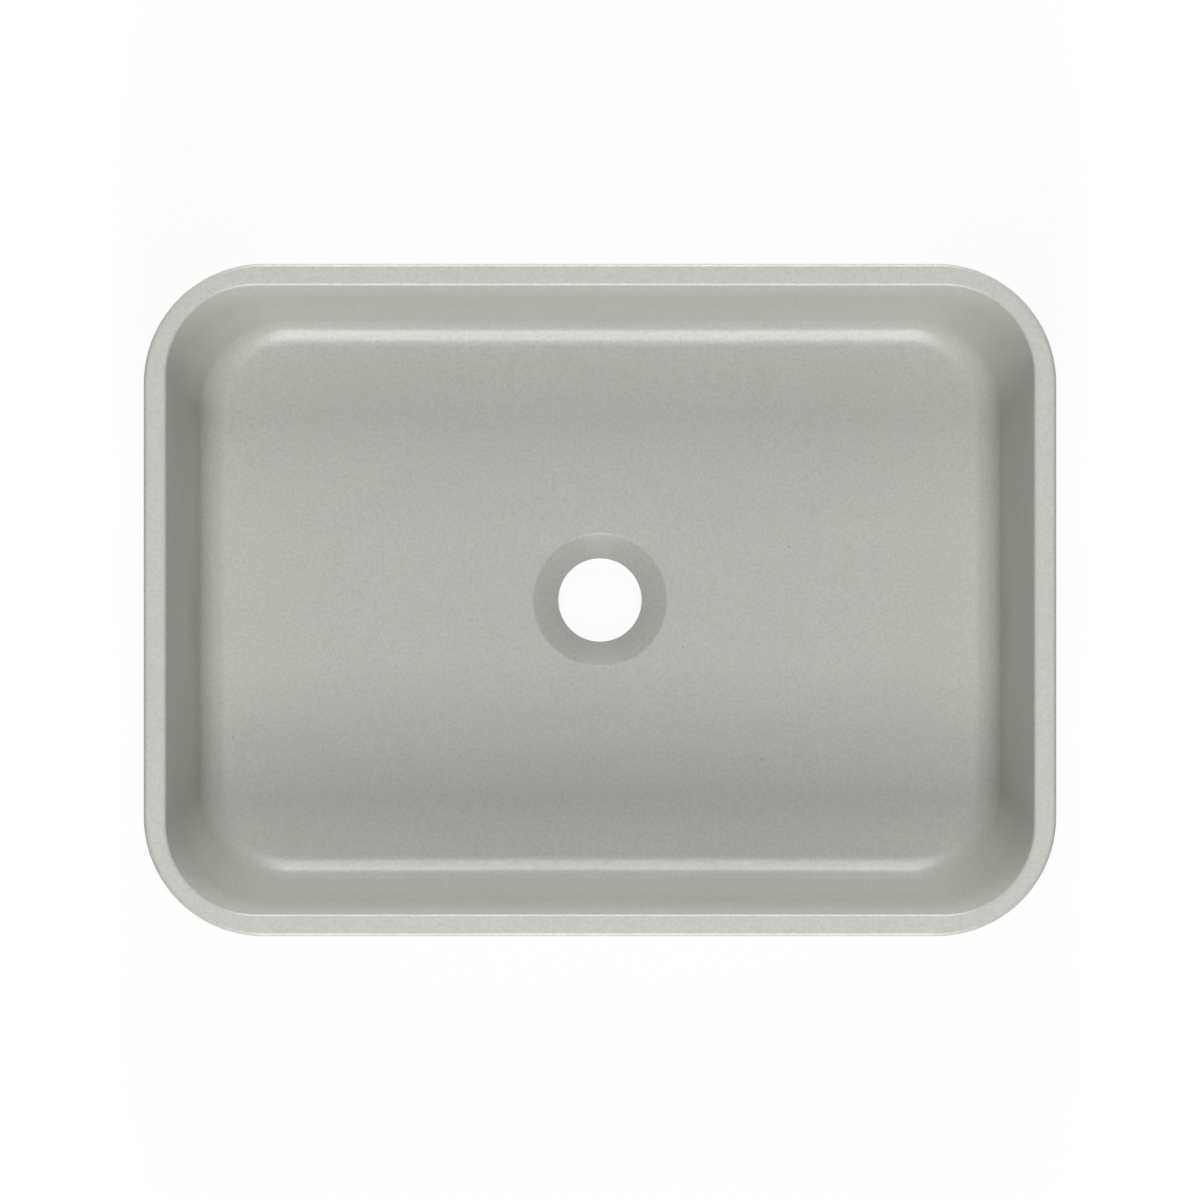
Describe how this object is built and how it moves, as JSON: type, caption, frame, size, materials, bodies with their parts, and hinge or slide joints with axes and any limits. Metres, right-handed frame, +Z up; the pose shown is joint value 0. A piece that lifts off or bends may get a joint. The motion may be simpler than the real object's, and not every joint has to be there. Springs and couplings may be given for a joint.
{
  "type": "washbasin",
  "caption": "Rectangular countertop washbasin cast in one piece, with rounded corners, leaning walls, a central waste hole in a dished seat, and pads under the foot.",
  "frame": {"origin": "on the worktop, straight under the middle of the waste hole and of the outline", "axes": "+Z up out of the tub, +X along the long side to the user's right, +Y away from the user"},
  "size_m": [0.4826, 0.3556, 0.14],
  "materials": {
    "cast_stone": "matte",
    "pad_rubber": "matte"
  },
  "bodies": {
    "root": {"basin": "cast_stone", "pad_front_left": "pad_rubber", "pad_front_right": "pad_rubber", "pad_back_left": "pad_rubber", "pad_back_right": "pad_rubber"}
  },
  "joints": []
}
